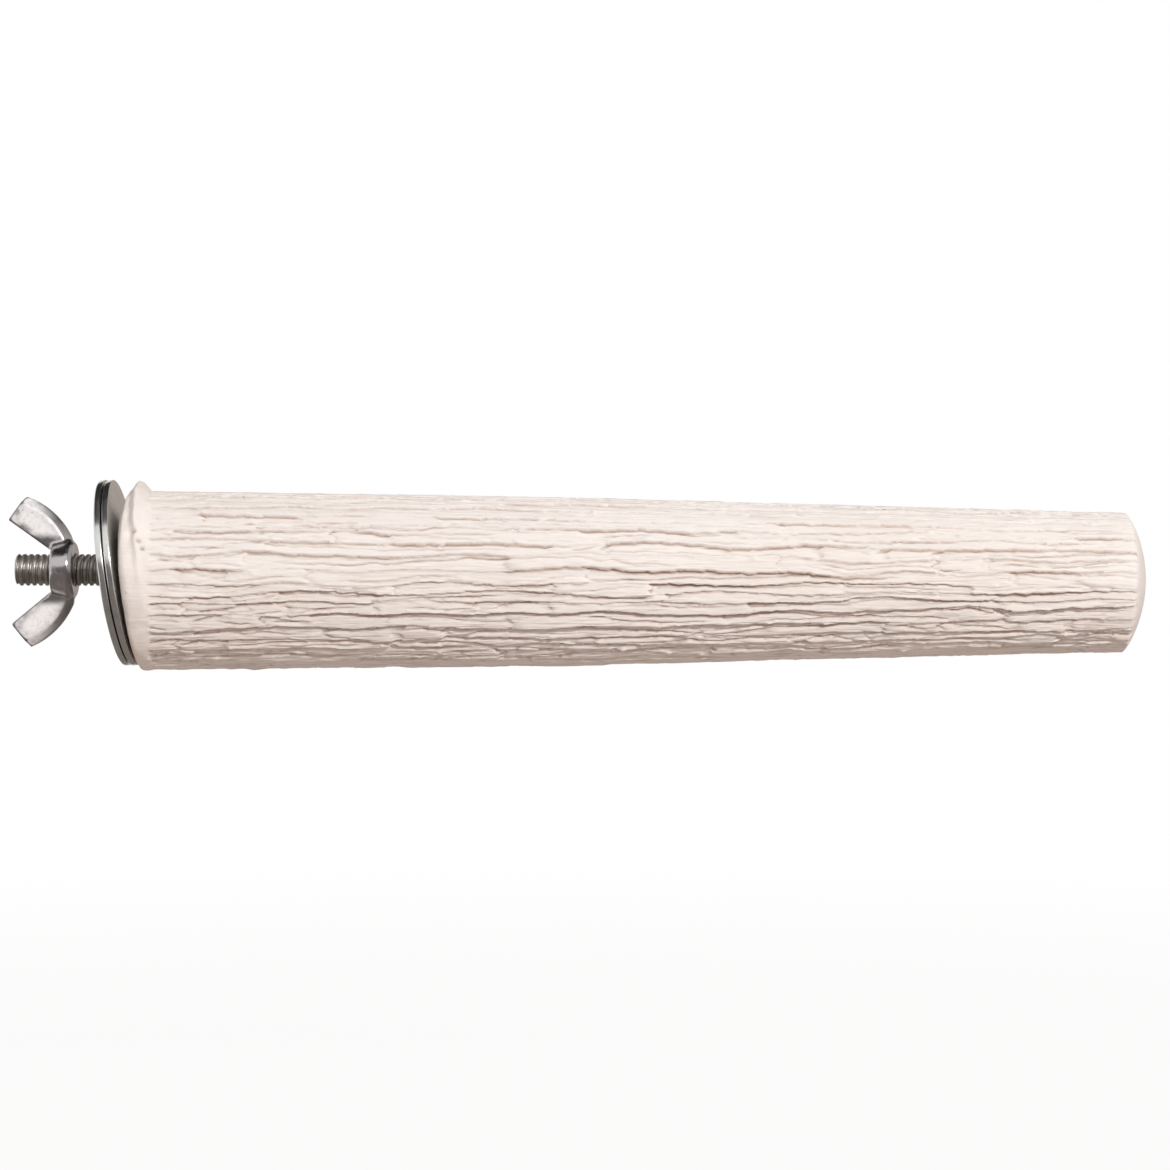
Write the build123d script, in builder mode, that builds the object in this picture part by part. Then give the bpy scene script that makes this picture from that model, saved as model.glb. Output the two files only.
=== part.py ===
"""A bird perch that clamps to the bars of a cage.

A cast bar with bark furrows holds a threaded rod in its thick end. Two large washers take the cage bars
between them, and a wing nut on the rod draws them together. Sizes are in millimetres. The origin is on the
rod's axis where it leaves the cast end, +X runs along the bar to its tip, and +Z is up.
"""

import math
import os

from build123d import *

# Cast bar
bar_length = 203.0  # from the cast end to the tip
mount_diameter = 36.0
bend_diameter = 33.9  # where the bar's taper grows steeper
bend_place = 85.0  # from the cast end to there
tip_diameter = 27.9
bar_drop = 2.1  # the bar's axis lies this far below the rod's
end_lean = 6.5  # degrees that the cast end leans out at its top
end_bevel_radius = 19.0  # of the bevel round the cast end, in the plane of that end
end_bevel_drop = 6.5  # the bevel's axis lies this far below the rod's, so it is widest at the top
end_bevel_slope = 31.8  # degrees between the bevel and the end
end_edge = 0.8  # broken edge round the flat of the cast end
tip_crown = 4.0  # height of the domed tip
tip_bevel = 0.8  # where the side meets the dome

# Lip of casting flash round the top of the mount end, centred on the rod and leaning with the end
lip_radius = 18.54  # to where its two sides would meet
lip_place = 3.86  # from the cast end to there
lip_slope = 31.8  # degrees between each side and the end
lip_depth = 4.3  # from there to the lip's foot inside the bar
lip_crest = 0.85  # bevel on the lip's crest
lip_reach = 100.0  # degrees each way from the top to where the lip has sunk into the bar

# Bark furrows
bark_start = 6.5  # smooth stretch at the mount end
bark_end_margin = 2.5  # smooth stretch before the tip's shoulder
furrow_rows = 44
long_furrow = 54.0
middle_furrow = 40.0
short_furrow = 27.0
furrow_width = 2.2
furrow_depth = 1.2
furrow_rise = 0.2  # how far a furrow's pattern stands off the bar's underside
top_rise = 0.5  # how much farther it stands off at the top, where the bark is smoother
furrow_gap = 7.0  # along the bar, between one furrow and the next in its row
furrow_skew = 1.2  # degrees
row_wander = 0.25  # how far a row lies off its even place, as a share of the rows' spacing
wander_step = 5.1  # radians, how fast that changes from row to row
start_spread = 20.0  # over which the rows' starts are spread
row_shift = 0.618  # each row starts later than the last by this share of that spread
skew_step = 2.4  # radians, how fast the skew changes from row to row

# Threaded rod and the nut that anchors it in the casting
rod_diameter = 6.35
rod_length = 76.2
rod_free_length = 22.75  # outside the casting
rod_chamfer = 0.35
anchor_across_flats = 11.1
anchor_thickness = 5.6
anchor_inset = 5.0  # rod beyond the anchor nut

# Washers
washer_diameter = 37.4
washer_thickness = 1.3
washer_hole_play = 1.6  # how much wider the hole is than the rod
washer_edge_break = 0.35
washer_seat_gap = 0.1  # between the rod and the hole's top edge, which hangs on it
washer_standoff = 0.95  # along the rod, from the cast end to the inner washer
washer_gap = 0.2  # between the two washers
washer_extra_lean = 1.15  # degrees that the washers lean beyond the cast end

# Wing nut
nut_standoff = 7.2  # along the rod, from the outer washer to the nut's base
thread_clearance = 0.05
nut_turn = 2.0  # degrees from upright, the lower wing towards the viewer
wing_lean = 2.2  # degrees that the two wings together lean on the hub, the upper one outwards
hub_base_wall = 3.1  # from the bore to the hub's side at its base
hub_top_wall = 2.1
hub_height = 4.7
hub_base_bevel = 1.0
hub_top_bevel = 0.4
nut_height = 13.0
wing_spread = 30.2  # between the outer corners of the two wings
wing_width = 5.9  # across a wing's outer end
wing_angle = 37.6  # degrees between a wing's inner edge and the rod
wing_bow = 1.25  # how far a wing's outer edge bows out
wing_heel = 6.5  # from the rod's axis to the wing's outer edge at the nut's base
wing_lift = 0.5  # from the nut's base to the wing's heel
wing_thickness = 4.0
wing_bevel = 1.5  # along the wing's outer edge, on both its faces

# Places worked out from the sizes above
rod_radius = rod_diameter / 2
rod_axis = Axis((0, 0, 0), (1, 0, 0))
bar_axis = Axis((0, 0, -bar_drop), (1, 0, 0))
shoulder = bar_length - tip_crown
bark_end = shoulder - bark_end_margin
furrow_lengths = [long_furrow, middle_furrow, short_furrow]
bore_radius = rod_radius + thread_clearance
rod_inner_end = rod_length - rod_free_length
anchor_place = rod_inner_end - anchor_inset - anchor_thickness
washer_hole_radius = (rod_diameter + washer_hole_play) / 2
end_tilt = math.radians(end_lean)
washer_tilt = math.radians(end_lean + washer_extra_lean)
washer_half_step = washer_thickness / 2 / math.cos(washer_tilt)
inner_washer_place = -washer_standoff - washer_half_step
outer_washer_place = inner_washer_place - 2 * washer_half_step - washer_gap / math.cos(washer_tilt)
nut_base = outer_washer_place - washer_half_step - nut_standoff


def bar_radius(x):
    """The bar's radius at a distance x along it."""
    if x < bend_place:
        share = x / bend_place
        return (mount_diameter + (bend_diameter - mount_diameter) * share) / 2
    share = (x - bend_place) / (shoulder - bend_place)
    return (bend_diameter + (tip_diameter - bend_diameter) * share) / 2


def on_bar(x, angle, skew):
    """A place on the bar's side, with its X along the bar and its Z outwards."""
    reach = 1.0
    slope = math.degrees(math.atan((bar_radius(x - reach) - bar_radius(x + reach)) / (2 * reach)))
    round_bar = Location((0, 0, -bar_drop), (-angle, 0, 0))
    stand_off = furrow_rise + top_rise * (1 + math.cos(math.radians(angle))) / 2
    out_to_side = Location((x, 0, bar_radius(x) + stand_off), (0, slope, 0))
    return round_bar * out_to_side * Location((0, 0, 0), (0, 0, skew))


def furrow_places(kind):
    """The places of the furrows of one length: end to end in rows, every other row from the tip."""
    places = []
    for row in range(furrow_rows):
        start = bark_start + (row * row_shift % 1) * start_spread
        step = row
        while start < bark_end:
            now = step % len(furrow_lengths)
            end = start + furrow_lengths[now]
            if now == kind and end <= bark_end:
                middle = (start + end) / 2
                if row % 2:
                    middle = bark_start + bark_end - middle
                skew = furrow_skew * math.sin(skew_step * step)
                place = row + row_wander * math.sin(wander_step * row)
                places.append(on_bar(middle, 360 / furrow_rows * place, skew))
            start = end + furrow_gap
            step += 1
    return places


def make_furrow(length):
    """The space of one furrow, along X: pointed at both ends and deepest below its middle."""
    with BuildPart() as furrow:
        Box(length, furrow_width, furrow_depth, align=(Align.CENTER, Align.CENTER, Align.MAX))
        for along in (-1, 1):
            for across in (-1, 1):
                outwards = (2 * along / length, 2 * across / furrow_width, -1 / furrow_depth)
                wall = Plane(origin=(0, 0, -furrow_depth), z_dir=outwards)
                split(bisect_by=wall, keep=Keep.BOTTOM)
    return furrow.part


def make_washer(place):
    """A plain washer that leans and hangs by its hole on the rod at that place."""
    hang = washer_hole_radius * math.cos(washer_tilt) - washer_thickness / 2 * math.sin(washer_tilt)
    height = rod_radius + washer_seat_gap - hang
    middle = Plane(
        origin=(place - height * math.tan(washer_tilt), 0, height),
        x_dir=(0, 1, 0),
        z_dir=(math.cos(washer_tilt), 0, math.sin(washer_tilt)),
    )
    with BuildPart() as washer:
        with BuildSketch(middle):
            Circle(washer_diameter / 2)
            Circle(washer_hole_radius, mode=Mode.SUBTRACT)
        extrude(amount=washer_thickness / 2, both=True)
        rims = washer.edges().filter_by(GeomType.CIRCLE).sort_by(SortBy.RADIUS)[-2:]
        chamfer(rims.sort_by(Axis.X)[0], washer_edge_break)
    return washer


# Threaded rod: a plain cylinder over the thread's crests
with BuildPart() as threaded_rod:
    with BuildSketch(Plane.YZ.offset(-rod_free_length)):
        Circle(rod_radius)
    extrude(amount=rod_length)
    chamfer(threaded_rod.edges().filter_by(GeomType.CIRCLE), rod_chamfer)

# Hex nut on the rod's buried end
with BuildPart() as anchor_nut:
    with BuildSketch(Plane.YZ.offset(anchor_place)):
        RegularPolygon(anchor_across_flats / 2, 6, major_radius=False)
        Circle(rod_radius, mode=Mode.SUBTRACT)
    extrude(amount=anchor_thickness)

# Cast bar: a turned profile with a leaning bevelled end, a lip and furrows, cast round the rod and its nut
bar_plane = Plane(origin=(0, 0, -bar_drop), x_dir=(1, 0, 0), z_dir=(0, -1, 0))
profile_start = -mount_diameter * math.tan(end_tilt)
side_start = (0, bar_radius(0))
side_bend = (bend_place, bar_radius(bend_place))
side_end = (shoulder, bar_radius(shoulder))
crown_radius = (bar_radius(shoulder) ** 2 + tip_crown**2) / (2 * tip_crown)
crown_turn = math.asin(bar_radius(shoulder) / crown_radius) / 2
crown_middle = (
    bar_length - crown_radius * (1 - math.cos(crown_turn)),
    crown_radius * math.sin(crown_turn),
)
end_outwards = (math.cos(end_tilt), 0, math.sin(end_tilt))
end_upwards = (-math.sin(end_tilt), 0, math.cos(end_tilt))
cast_end = Plane(origin=(0, 0, 0), x_dir=end_upwards, z_dir=end_outwards)
bevel_end_radius = end_bevel_radius + bar_length / math.tan(math.radians(end_bevel_slope))
lip_half_width = lip_depth * math.tan(math.radians(lip_slope))
upright = Plane(origin=(0, 0, 0), x_dir=end_outwards, z_dir=(0, -1, 0))
lip_plane = Plane(upright.location * Location((0, 0, 0), (-lip_reach, 0, 0)))
with BuildPart() as perch_body:
    with BuildSketch(bar_plane) as bar_profile:
        with BuildLine():
            Polyline((bar_length, 0), (profile_start, 0), (profile_start, bar_radius(0)), side_start)
            Polyline(side_start, side_bend, side_end)
            ThreePointArc(side_end, crown_middle, (bar_length, 0))
        make_face()
        chamfer(bar_profile.vertices().sort_by_distance(side_end)[0], tip_bevel)
    revolve(axis=bar_axis)
    split(bisect_by=cast_end, keep=Keep.TOP)
    with Locations(cast_end.location * Location((-end_bevel_drop, 0, 0))):
        Cone(
            end_bevel_radius,
            bevel_end_radius,
            bar_length,
            align=(Align.CENTER, Align.CENTER, Align.MIN),
            mode=Mode.INTERSECT,
        )
    chamfer(perch_body.faces().sort_by(Axis(cast_end.origin, end_outwards))[0].edges(), end_edge)
    with BuildSketch(lip_plane) as lip_profile:
        with BuildLine():
            Polyline(
                (lip_place - lip_half_width, lip_radius - lip_depth),
                (lip_place, lip_radius),
                (lip_place + lip_half_width, lip_radius - lip_depth),
                close=True,
            )
        make_face()
        chamfer(lip_profile.vertices().sort_by_distance((lip_place, lip_radius))[0], lip_crest)
    revolve(axis=Axis((0, 0, 0), end_outwards), revolution_arc=2 * lip_reach)
    for kind, length in enumerate(furrow_lengths):
        with Locations(*furrow_places(kind)):
            add(make_furrow(length), mode=Mode.SUBTRACT)
    add(threaded_rod.part, mode=Mode.SUBTRACT)
    add(anchor_nut.part, mode=Mode.SUBTRACT)

# Washers
inner_washer = make_washer(inner_washer_place)
outer_washer = make_washer(outer_washer_place)

# Wing nut: two flat wings forged in one piece with a hub that narrows outwards
turn = math.radians(nut_turn)
rise = math.radians(wing_angle)
hub_plane = Plane(
    origin=(nut_base, 0, 0),
    x_dir=(-1, 0, 0),
    z_dir=(0, math.cos(turn), -math.sin(turn)),
)
wing_plane = Plane(hub_plane.location * Location((0, 0, 0), (0, 0, -wing_lean)))
wing_axis = Axis(wing_plane.origin, wing_plane.x_dir)
hub_base_radius = bore_radius + hub_base_wall
hub_top_radius = bore_radius + hub_top_wall
tip_inner = (nut_height, wing_spread / 2 - wing_width * math.cos(rise))
tip_outer = (nut_height - wing_width * math.sin(rise), wing_spread / 2)
foot_place = nut_height - (tip_inner[1] - bore_radius) / math.tan(rise)
heel = (wing_lift, wing_heel)
chord = math.dist(tip_outer, heel)
chord_slope = math.atan2(tip_outer[1] - heel[1], tip_outer[0] - heel[0])
bow_radius = (chord**2 / 4 + wing_bow**2) / (2 * wing_bow)
clear_of_bow = 3 * wing_bow  # from the chord to a point well outside the bowed edge


def off_chord(distance):
    """A place off the middle of the chord under a wing's bowed edge, away from the rod."""
    along = (tip_outer[0] + heel[0]) / 2 - distance * math.sin(chord_slope)
    across = (tip_outer[1] + heel[1]) / 2 + distance * math.cos(chord_slope)
    return along, across


with BuildPart() as bowed_disc:
    Cylinder(bow_radius, wing_thickness)
    chamfer(bowed_disc.edges().filter_by(GeomType.CIRCLE), wing_bevel)
with BuildPart() as wing:
    with BuildSketch(wing_plane):
        with BuildLine():
            Polyline(heel, (wing_lift, 0), (foot_place, 0), (foot_place, bore_radius), tip_inner, tip_outer)
            Polyline(tip_outer, off_chord(clear_of_bow), heel)
        make_face()
    extrude(amount=wing_thickness / 2, both=True)
    with Locations(wing_plane.location * Location(off_chord(wing_bow - bow_radius))):
        add(bowed_disc.part, mode=Mode.INTERSECT)
with BuildPart() as wing_nut:
    add(wing.part)
    add(wing.part.rotate(wing_axis, 180))
    with BuildSketch(hub_plane) as hub_profile:
        with BuildLine():
            Polyline((0, 0), (0, hub_base_radius), (hub_height, hub_top_radius), (hub_height, 0), close=True)
        make_face()
        chamfer(hub_profile.vertices().sort_by_distance((0, hub_base_radius))[0], hub_base_bevel)
        chamfer(hub_profile.vertices().sort_by_distance((hub_height, hub_top_radius))[0], hub_top_bevel)
    revolve(axis=rod_axis)
    with BuildSketch(Plane.YZ.offset(nut_base)):
        Circle(bore_radius)
    extrude(amount=-nut_height, mode=Mode.SUBTRACT)

os.makedirs("parts", exist_ok=True)
perch_body.part.label = "perch_body"
export_step(perch_body.part, "parts/perch_body.step")
threaded_rod.part.label = "threaded_rod"
export_step(threaded_rod.part, "parts/threaded_rod.step")
anchor_nut.part.label = "anchor_nut"
export_step(anchor_nut.part, "parts/anchor_nut.step")
inner_washer.part.label = "inner_washer"
export_step(inner_washer.part, "parts/inner_washer.step")
outer_washer.part.label = "outer_washer"
export_step(outer_washer.part, "parts/outer_washer.step")
wing_nut.part.label = "wing_nut"
export_step(wing_nut.part, "parts/wing_nut.step")
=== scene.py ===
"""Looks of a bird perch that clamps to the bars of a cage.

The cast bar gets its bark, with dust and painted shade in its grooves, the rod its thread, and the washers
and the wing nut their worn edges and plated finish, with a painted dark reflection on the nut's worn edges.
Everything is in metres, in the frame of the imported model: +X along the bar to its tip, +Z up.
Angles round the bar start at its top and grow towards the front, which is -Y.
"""

import math

import bmesh
import bpy
import numpy as np
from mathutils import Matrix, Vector


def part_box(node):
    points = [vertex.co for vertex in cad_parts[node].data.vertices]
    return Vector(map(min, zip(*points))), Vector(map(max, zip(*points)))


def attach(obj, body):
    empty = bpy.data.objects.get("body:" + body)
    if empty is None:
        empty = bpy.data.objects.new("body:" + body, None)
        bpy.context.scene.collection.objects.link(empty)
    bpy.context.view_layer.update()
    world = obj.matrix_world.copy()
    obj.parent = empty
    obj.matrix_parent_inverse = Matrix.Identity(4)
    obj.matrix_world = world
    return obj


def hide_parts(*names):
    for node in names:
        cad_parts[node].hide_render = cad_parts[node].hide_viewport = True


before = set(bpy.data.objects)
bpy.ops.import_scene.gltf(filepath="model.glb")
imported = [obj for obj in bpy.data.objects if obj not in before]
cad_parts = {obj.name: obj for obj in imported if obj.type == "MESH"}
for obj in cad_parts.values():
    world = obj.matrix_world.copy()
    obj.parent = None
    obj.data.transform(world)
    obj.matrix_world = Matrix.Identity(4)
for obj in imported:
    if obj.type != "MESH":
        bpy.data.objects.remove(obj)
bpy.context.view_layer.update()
full_turn = 2.0 * math.pi

# Camera: level with the bar, in front of its middle
camera_distance = 0.6
camera_aim = Vector((0.0909, 0.0, -0.0028))
camera_roll = math.radians(-0.12)
picture_width = 0.2342  # what the frame takes in at the bar

# Cast bar, about an axis below the rod's
bar_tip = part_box("perch_body")[1].x
bar_drop = 0.0021
mount_radius = 0.0180
bend_radius = 0.01695
bend_place = 0.085
tip_radius = 0.01395
tip_crown = 0.0040
shoulder = bar_tip - tip_crown
shoulder_blend = 0.00008
tip_slant = 0.0006  # by which the cast tip's lower edge lies behind its upper edge
slant_start = 0.185  # along the bar, where the slant sets in

# Mesh of the cast bar, in points round it and columns along it
around_count = 860
end_columns = 5
collar_columns = 25
collar_crowding = 1.25  # more than 1 brings the collar's columns closer together at the cast end
bark_columns = 430
tip_columns = 34
tip_lead = 0.0008  # before the shoulder, where the tip's columns start
fine_columns = 900  # of the relief that is laid on the mesh
bar_triangles = 195000  # after thinning

# Cast end: it leans, and a bevel round its upper part has its axis below the bar's
end_lean = math.radians(6.5)
lean_fade = (0.0060, 0.0200)  # along the bar, where the mesh's rings turn upright
end_edge = 0.0008  # rounding of the end's edge at its bottom
top_edge = 0.0017  # where it is rounded most
top_edge_turn = math.radians(50.0)  # that place, from the top
edge_band = (-0.5, 0.9)  # cosine of the angle from that place, between the least and the most rounding
bevel_radius = 0.0190
bevel_drop = 0.0044
bevel_slope = math.radians(31.8)
corner_blend = 0.00012
rod_hole_depth = 0.0015  # of the bar's skin, round the rod

# Lip of casting flash over the top of the mount end, centred on the rod and leaning with the end
lip_radius = 0.01854
lip_place = 0.00395
lip_slope = math.radians(31.8)
lip_rounding = 0.00042
lip_blend = 0.00035

# Unevenness of the cast collar
collar_lumps = 0.00012
lump_waves = (  # each one's count round the bar, radians a metre along it, and start
    (5.0, 900.0, 0.0),
    (9.0, -700.0, 1.0),
    (14.0, 1500.0, 2.0),
    (3.0, 1100.0, 0.0),
)
dimple_count = 150  # small bumps and hollows
dimple_radius = (0.0006, 0.0015)
dimple_height = 0.00028
pinholes = ((0.0039, 65.0), (0.0030, 59.0), (0.0047, 70.0))  # along the bar, and degrees from the top
pinhole_radius = 0.00040
pinhole_depth = 0.00055

# Bark furrows, laid out as on the solid
furrow_rows = 44
furrow_lengths = (0.054, 0.040, 0.027)
furrow_start = 0.0065
furrow_end = shoulder - 0.0025
furrow_depth = 0.0012
furrow_width = 0.0022
furrow_rise = 0.0002  # by which a furrow is shallower on the bar's underside
top_rise = 0.0005  # and by how much more at the top
furrow_gap = 0.0070
furrow_skew = math.radians(1.2)
row_wander = 0.25
wander_step = 5.1
start_spread = 0.020
row_shift = 0.618
skew_step = 2.4

# Cracks: the furrows and the hairlines that run on between them
bark_seed = 11
steep_share = 0.24  # of a crack's width, on the side of its upper wall
crack_waves = (  # lengths and height of a crack's wander, ripple and jags
    ((0.014, 0.050), 0.00036),
    ((0.003, 0.007), 0.00010),
    ((0.0011, 0.0024), 0.00005),
)
waves_added = 3  # in each of these
hairline_depth = 0.00062
hairline_width = 0.00095
hairline_share = 0.75  # of that depth, on average
hairline_change = 0.55  # of that depth, up and down along the crack
hairline_lengths = (0.012, 0.05)  # of these waves
thinnest_crack = 1e-6  # its depth, where a hairline closes

# Strands of bark between the cracks
strand_lengths = (0.009, 0.060)
short_strands = 0.30  # of their usual length, where the bark starts
short_end = 0.035
strand_step = 0.00060  # the most by which one strand lies below the next
step_bias = 1.5  # more than 1 makes low strands rarer
strand_tilt = (0.00045, 0.00125)  # how far a strand's upper edge dips under the strand above
strand_curve = 1.35
narrowest_strand = 1e-4  # radians
tilt_turn = 5.0  # how fast the strands' tilt changes sides over the top and the bottom
straight_outline = 0.30  # of the strands' steps that is left at the top and the bottom
outline_band = (0.05, 0.55)  # sine of the angle from there, where the steps grow to their full height
slant = 0.0016  # of a strand's broken end
end_ripple = 0.0005
end_ripple_turn = 9.0  # radians of that ripple across a strand
chip_length = 0.0022  # of the chip at a strand's start
chip_depth = 0.00045

# Fine splits along a strand
split_count = 2
split_share = 0.80  # of the splits are open
split_depth = (0.00022, 0.00058)
split_walls = (0.00016, 0.00060)  # widths of the upper and the lower wall
split_place = (0.2, 0.8)  # share of the strand's width
split_climb = 0.9  # the most widths that a split climbs over the strand's length
split_reach = (0.25, 0.6)  # each way from a split's middle, as a share of the strand's length
split_middle = (0.3, 0.7)  # share of the strand's length
split_ends = 3.0  # how soon a split is at its full depth
split_ripple = 0.06  # share of the strand's width
split_ripple_length = (0.0012, 0.003)  # along the bar for each radian

# Crumbs and grain of the cast mineral
crumb_count = 260
crumb_size = (0.00030, 0.00060)
crumb_height = (0.00025, 0.00060)
crumb_proud = 0.00020  # above the bark's crests at most
crumb_reach = 3.0  # sizes, beyond which a crumb has no height
grain_height = 0.00006
grain_length = 0.0016

# How deep the bark is
calmest_bark = 0.58  # at the top
bark_gain = 0.56  # from there to the bottom
gain_band = (-0.95, 0.40)  # how far below the axis, in radii, over which it grows
top_start = 0.0040  # where the bark starts at the top and the bottom
front_start = 0.0057  # and at the front and the back
bark_edge = 0.0008  # along the bar, over which the bark sets in there
start_line_depth = 0.00014  # of the line where the bark starts
start_line_width = 0.00035
start_calm = 0.70  # of the bark's depth, where it starts
calm_end = 0.016
middle_calm = 0.35  # by which the bark is shallower across the middle of each side
middle_turn = math.radians(95.0)
middle_spread = math.radians(15.0)
rough_place = 0.094  # along the bar, where the bark isn't calmed there
rough_spread = 0.032
tip_calm = 0.55  # of the bark's depth that is left at the tip's rim
tip_calm_length = 0.007
tip_fade = (0.88, 0.985)  # of the tip's radius, where the bark fades out on the dome

# Dust and painted shade that darken the grooves
groove_depth = (0.00010, 0.00042)  # from which a groove is darkened by dust and painted shade, and at which it is darkened fully
groove_reach = 7  # points round the bar each way, over which a groove's depth is taken
low_painted_shade = 0.7  # painted shade: how much more the grooves are darkened on the underside
low_turn = (math.radians(105.0), math.radians(140.0))  # where that sets in

# Rod and its thread
rod_low, rod_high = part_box("threaded_rod")
rod_radius = rod_high.z
rod_bevel = 0.00035
thread_pitch = 0.00127
thread_depth = 0.00046
thread_slope = 1.7  # how many times its depth a flank would rise in half a pitch
thread_crest = 0.6  # of the depth, cut off that rise for the flat crest
thread_sides = 56
thread_columns = 10  # in a turn

# Washers
washer_radius = 0.0187
washer_thickness = 0.0013
washer_hole_radius = 0.003975
washer_hole_bevel = 0.00012
washer_tilt = math.radians(7.65)
washer_edge = 0.00042  # rounding of the edge on the nut's side
burr_edge = washer_edge * 0.45  # and on the bar's side
washer_sides = 160
edge_points = 6
burr_points = 4
face_shares = np.linspace(0.2, 0.8, 4)  # from the hole to the edge, where a face has rings
weld_distance = 1e-6

# Wing nut
nut_voxel = 0.00022
blend_factor = 0.5
blend_passes = 16
frost_start = (0.0060, 0.0080)  # from the rod's axis, where the wings' frosted finish sets in
wear_and_reflection_bend = (0.035, 0.10)  # bend of an edge where the frost is worn off and the edge is darkened as a painted dark reflection
wear_and_reflection_passes = 2  # of averaging with the neighbours
rubbed_bend = (0.004, 0.030)  # the same for the smudges on the faces beside an edge
rubbed_passes = 45
outer_facing = (0.30, 0.60)  # how far a wing's outer edge faces the washers, where it is worn and darkened as a painted dark reflection
outer_passes = 3
outer_wear_and_reflection = 0.7  # share of that edge that is worn and painted dark

# Colours, from dark to pale where there are several, with their places on a noise texture's scale
cast_tones = ((0.30, (0.81, 0.760, 0.710)), (0.55, (0.845, 0.803, 0.760)), (0.75, (0.855, 0.820, 0.785)))
# dust and painted shade in the bar's grooves and pits
dust_and_shade_colour = (0.46, 0.335, 0.275)
rod_tones = ((0.30, (0.28, 0.255, 0.23)), (0.70, (0.46, 0.43, 0.39)))
washer_tones = ((0.30, (0.60, 0.59, 0.57)), (0.70, (0.72, 0.71, 0.69)))
frost_tones = ((0.32, (0.62, 0.62, 0.63)), (0.45, (0.90, 0.90, 0.90)), (0.70, (0.96, 0.96, 0.96)))
smudge_colour = (0.24, 0.24, 0.25)
plating_colour = (0.50, 0.475, 0.475)
# the nut's worn edges: bare metal, darkened as a painted dark reflection
wear_and_reflection_colour = (0.22, 0.21, 0.205)
nut_metallic = (1.0, 0.08)  # where plated, and where frosted
nut_roughness = (0.17, 0.50)
frost_ragged = 0.8  # how ragged the frost's border is
frost_worn_off = 0.9  # share of the frost that is gone on a worn edge
smudge_gain = 3.0  # of the noise
smudge_cut = -1.1  # added to it, so that only its high patches show
roughness_spread = (0.8, 1.25)  # of a steel's mean roughness
fine_grain = 6.0  # how many times finer a steel's grain is than its changes of tone

# Stage
floor_drop = 0.13  # from the bar to the floor
floor_size = 6.0
floor_colour = (0.66, 0.58, 0.54)
floor_glow = 0.94  # share of plain white in what the eye sees of the floor under the bar
shadow_reach = (0.30, 0.80)  # from the middle of the floor, where its shadow fades out
surround_colour = (0.34, 0.295, 0.28)  # of the light from all round
white = (1.0, 1.0, 1.0)
flat = (0.0, 0.0, 0.0)
upright = (math.pi / 2, 0.0, 0.0)
lamps = (  # name, place, diameter and watts
    ("key", (0.70, -1.28, 0.62), 0.25, 15.2),
    ("top", (0.09, -0.30, 1.20), 0.7, 3.3),
)
cards = (  # name, place, size, turn and colour
    ("card_above", (0.0, 0.22, 0.32), (0.7, 0.80), flat, (0.03, 0.03, 0.03)),
    ("card_front", (0.0, -0.55, -0.22), (1.2, 0.70), upright, (0.20, 0.185, 0.19)),
    ("card_below", (0.0, -0.12, -0.128), (0.8, 0.94), flat, (0.24, 0.215, 0.20)),
    ("card_behind", (0.16, 0.45, 0.03), (0.36, 0.40), upright, (0.46, 0.40, 0.36)),
)


# Small helpers


def smooth_step(low, high, value):
    """From 0 at low to 1 at high, without a kink."""
    share = np.clip((value - low) / (high - low), 0.0, 1.0)
    return share * share * (3.0 - 2.0 * share)


def bell(distance, spread):
    """1 at no distance, falling to 0 over a few spreads."""
    return np.exp(-((distance / spread) ** 2))


def blended_min(first, second, blend):
    """The smaller of two values, with the corner between them rounded."""
    middle = np.minimum(first, second)
    return middle - blend * np.log(np.exp((middle - first) / blend) + np.exp((middle - second) / blend))


def blended_max(first, second, blend):
    """The larger of two values, with the corner between them rounded."""
    return -blended_min(-first, -second, blend)


def blurred(field, axis, steps):
    """The field's mean over a number of steps each way round the bar (axis 0) or along it (axis 1)."""
    total = np.zeros_like(field)
    for step in range(-steps, steps + 1):
        total += np.roll(field, step, axis=axis)
    return total / (2 * steps + 1)


def side_radius(x):
    """The bar's radius over the bark's crests at a distance x along it: two straight tapers."""
    places = (0.0, bend_place, shoulder)
    return np.interp(x, places, (mount_radius, bend_radius, tip_radius))


# Bark relief


def furrows_in(row):
    """The furrows of one row along the bar, as (middle, length, skew)."""
    furrows = []
    start = furrow_start + (row * row_shift % 1) * start_spread
    step = row
    while start < furrow_end:
        length = furrow_lengths[step % len(furrow_lengths)]
        if start + length <= furrow_end:
            middle = start + length / 2
            if row % 2:
                middle = furrow_start + furrow_end - middle
            furrows.append((middle, length, furrow_skew * math.sin(skew_step * step)))
        start += length + furrow_gap
        step += 1
    furrows.sort()
    return furrows


def waves(x, random, lengths, height):
    """A random wander along the bar, of about that height."""
    total = np.zeros_like(x)
    for number in range(waves_added):
        length = random.uniform(*lengths)
        total += np.sin(full_turn * (x / length + random.uniform())) * height / math.sqrt(waves_added)
    return total


def crack_path(row, x, random):
    """The crack along one row: its angle round the bar, and how open it is, up to 1."""
    knots = []
    shifts = []
    opening = np.zeros_like(x)
    for middle, length, skew in furrows_in(row):
        for end in (-length / 2, length / 2):
            knots.append(middle + end)
            shifts.append(-end * math.sin(skew))
        opening = np.maximum(opening, 1.0 - 2.0 * np.abs(x - middle) / length)
    shift = np.interp(x, knots, shifts)
    for lengths, height in crack_waves:
        shift += waves(x, random, lengths, height)
    angle = -full_turn / furrow_rows * (row + row_wander * math.sin(wander_step * row))
    return (angle + shift / side_radius(x)) % full_turn, opening


def bark_strength(angle):
    """How strong the bark is by its angle round the bar: smoother above, rougher below."""
    return calmest_bark + bark_gain * smooth_step(*gain_band, -np.cos(angle))


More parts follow.
